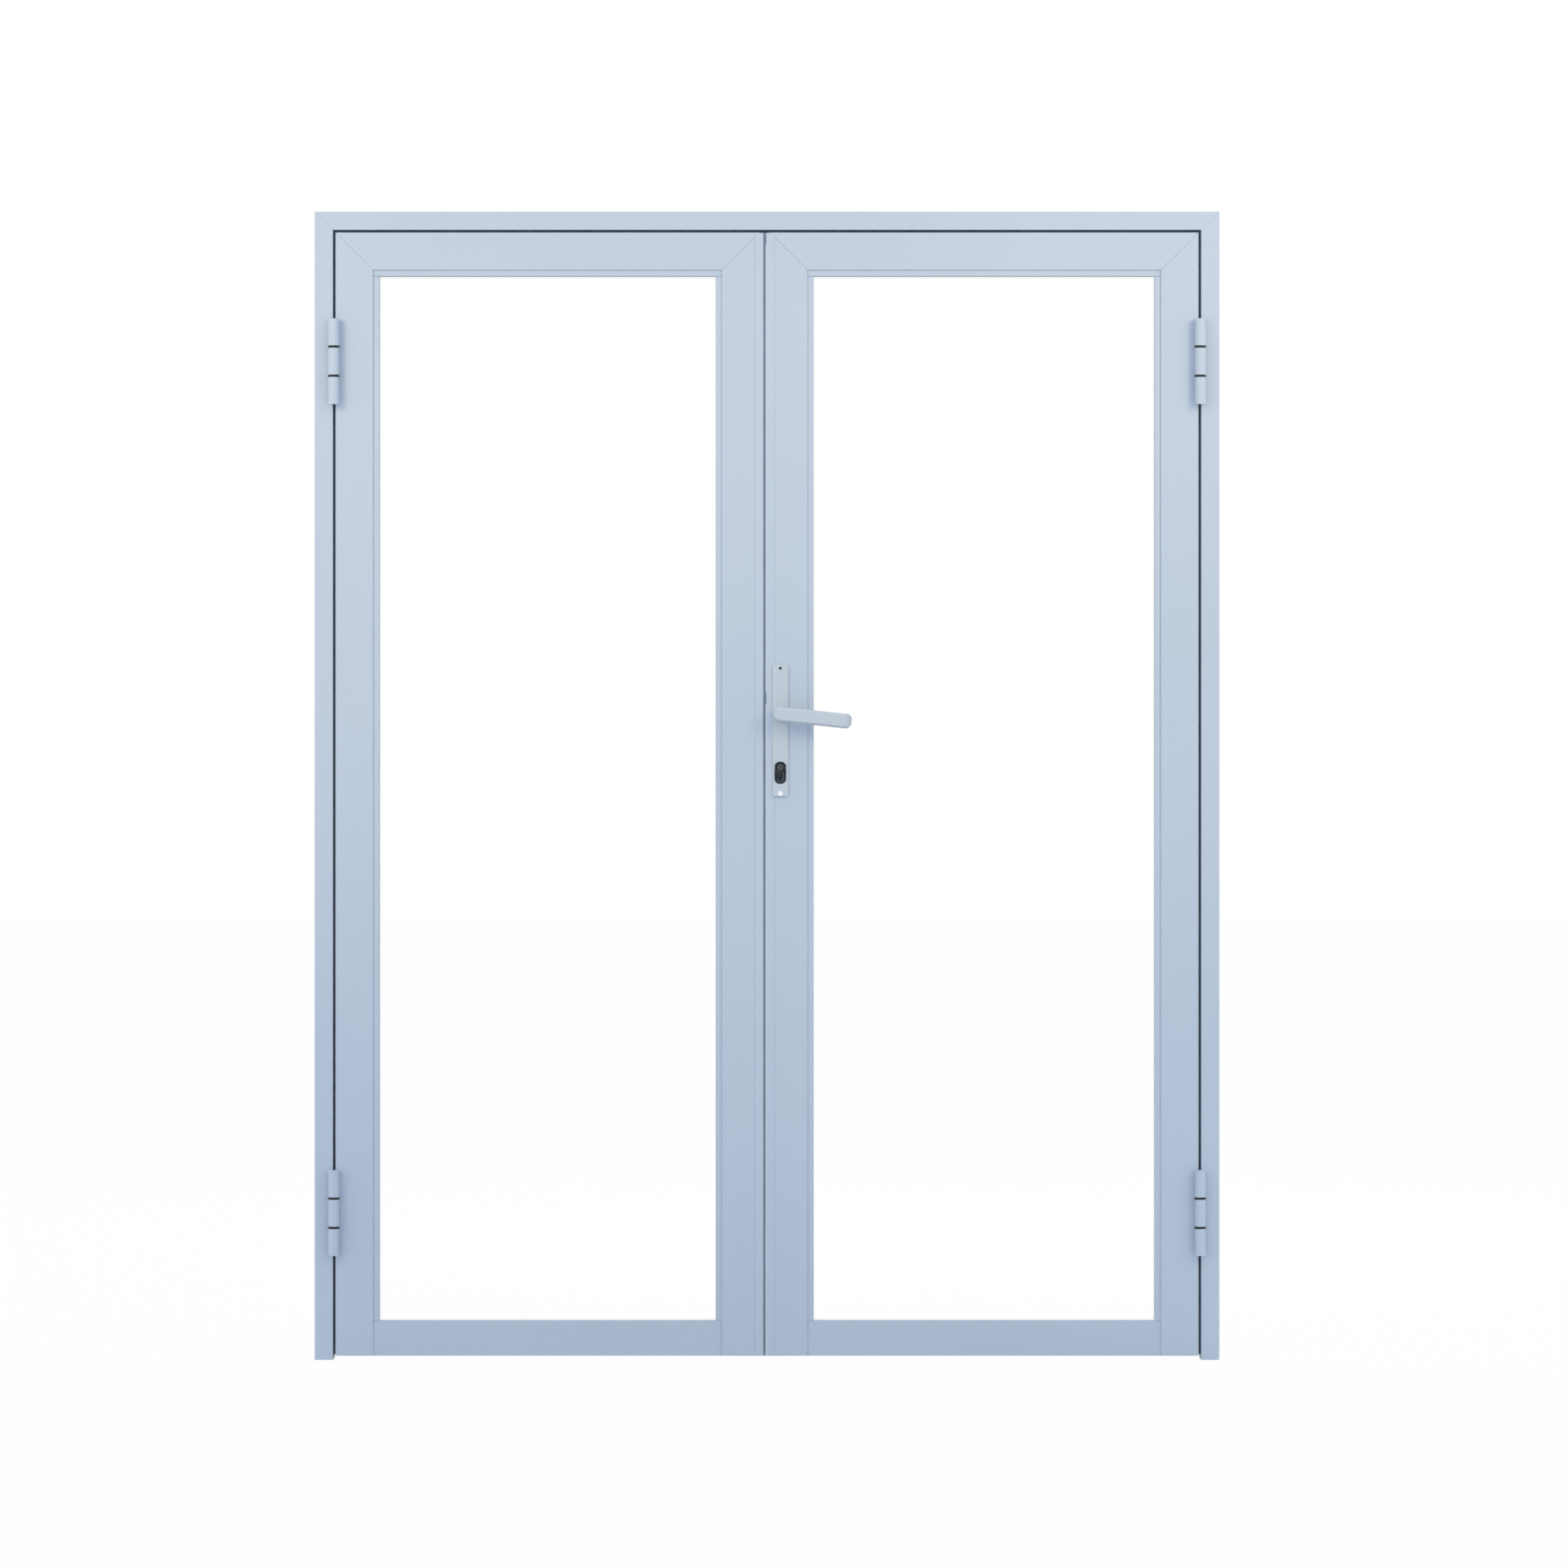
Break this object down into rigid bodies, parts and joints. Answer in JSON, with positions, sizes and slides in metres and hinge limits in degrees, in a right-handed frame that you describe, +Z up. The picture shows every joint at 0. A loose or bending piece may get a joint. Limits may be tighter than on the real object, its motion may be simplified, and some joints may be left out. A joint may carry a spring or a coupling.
{
  "type": "french doors",
  "caption": "Glazed aluminium double doors in a slim frame, hinged at both jambs to open outward, with lever handle and profile cylinder.",
  "frame": {"origin": "middle of the frame's foot, at half its depth, on the finished floor", "axes": "+Z up, +X to the right seen from the hinge side, +Y away from the hinge side through the doorway"},
  "size_m": [1.56, 0.142, 1.98],
  "materials": {
    "coated_aluminium": "matt powder coat, pale blue-grey",
    "handle_finish": "smooth satin coat",
    "clear_glass": "clear float glass",
    "black_rubber": "matt",
    "grey_rubber": "matt",
    "black_plastic": "matt",
    "grey_plastic": "matt",
    "white_plastic": "glossy",
    "cast_aluminium": "as cast",
    "spacer_aluminium": "mill finish",
    "zinc_steel": "zinc plated",
    "lock_steel": "brushed stainless",
    "dark_metal": "dark nickel plate"
  },
  "bodies": {
    "frame": {"left_jamb": "coated_aluminium", "right_jamb": "coated_aluminium", "head": "coated_aluminium", "frame_corner_cleats": "cast_aluminium", "frame_seals": "black_rubber", "bolt_keeper": "zinc_steel", "left_top_hinge_frame_half": "coated_aluminium", "left_bottom_hinge_frame_half": "coated_aluminium", "right_top_hinge_frame_half": "coated_aluminium", "right_bottom_hinge_frame_half": "coated_aluminium", "hinge_pins": "zinc_steel", "hinge_washers": "black_plastic", "frame_hinge_screws": "zinc_steel"},
    "left_leaf": {"left_hinge_stile": "coated_aluminium", "left_meeting_stile": "coated_aluminium", "left_top_rail": "coated_aluminium", "left_bottom_rail": "coated_aluminium", "left_glazing_beads": "coated_aluminium", "left_meeting_profile": "coated_aluminium", "left_glass_panes": "clear_glass", "left_glazing_gaskets": "black_rubber", "left_setting_blocks": "grey_plastic", "left_cleats": "cast_aluminium", "left_spacer": "spacer_aluminium", "left_top_hinge_leaf_half": "coated_aluminium", "left_bottom_hinge_leaf_half": "coated_aluminium", "left_hinge_screws": "zinc_steel", "strike_plate": "lock_steel", "meeting_fin": "grey_rubber", "flush_bolt_plates": "lock_steel"},
    "right_leaf": {"right_hinge_stile": "coated_aluminium", "right_meeting_stile": "coated_aluminium", "right_top_rail": "coated_aluminium", "right_bottom_rail": "coated_aluminium", "right_glazing_beads": "coated_aluminium", "right_meeting_profile": "coated_aluminium", "right_glass_panes": "clear_glass", "right_glazing_gaskets": "black_rubber", "right_setting_blocks": "grey_plastic", "right_cleats": "cast_aluminium", "right_spacer": "spacer_aluminium", "right_top_hinge_leaf_half": "coated_aluminium", "right_bottom_hinge_leaf_half": "coated_aluminium", "right_hinge_screws": "zinc_steel", "lock_case": "zinc_steel", "lock_faceplate": "lock_steel", "front_handle_plate": "handle_finish", "back_handle_plate": "handle_finish", "cylinder_body": "dark_metal", "cylinder_collars": "dark_metal", "handle_screws": "zinc_steel", "handle_screw_caps": "white_plastic"},
    "handle": {"front_lever": "handle_finish", "back_lever": "handle_finish", "spindle_and_follower": "zinc_steel"},
    "latch": {"latch_bolt": "lock_steel"},
    "bolt": {"dead_bolt": "lock_steel"},
    "cylinder_core": {"cylinder_plug": "dark_metal"},
    "top_bolt": {"top_flush_bolt": "zinc_steel"},
    "bottom_bolt": {"bottom_flush_bolt": "zinc_steel"}
  },
  "joints": [
    {"name": "left_leaf_swing", "type": "hinge", "parent": "frame", "child": "left_leaf", "pos_m": [-0.74625, -0.0365, 0.99], "axis": [0, 0, -1], "range_deg": [0, 170]},
    {"name": "right_leaf_swing", "type": "hinge", "parent": "frame", "child": "right_leaf", "pos_m": [0.74625, -0.0365, 0.99], "axis": [0, 0, 1], "range_deg": [0, 170]},
    {"name": "lever_turn", "type": "hinge", "parent": "right_leaf", "child": "handle", "pos_m": [0.023, 0, 1.1135], "axis": [0, 1, 0], "range_deg": [0, 40], "stiffness_Nm_per_rad": 2, "springref_deg": -11.46},
    {"name": "latch_slide", "type": "slide", "parent": "right_leaf", "child": "latch", "axis": [1, 0, 0], "range_m": [0, 0.011]},
    {"name": "key_turn", "type": "hinge", "parent": "right_leaf", "child": "cylinder_core", "pos_m": [0.023, 0, 1.0215], "axis": [0, 1, 0], "range_deg": [0, 360]},
    {"name": "dead_bolt_slide", "type": "slide", "parent": "right_leaf", "child": "bolt", "axis": [-1, 0, 0], "range_m": [0, 0.02]},
    {"name": "top_bolt_slide", "type": "slide", "parent": "left_leaf", "child": "top_bolt", "axis": [0, 0, 1], "range_m": [0, 0.02]},
    {"name": "bottom_bolt_slide", "type": "slide", "parent": "left_leaf", "child": "bottom_bolt", "axis": [0, 0, -1], "range_m": [0, 0.02]}
  ],
  "couplings": [
    {"joint": "latch_slide", "follows": "lever_turn", "m_per_rad": 0.015613},
    {"joint": "key_turn", "follows": "dead_bolt_slide", "rad_per_m": 314.16}
  ]
}
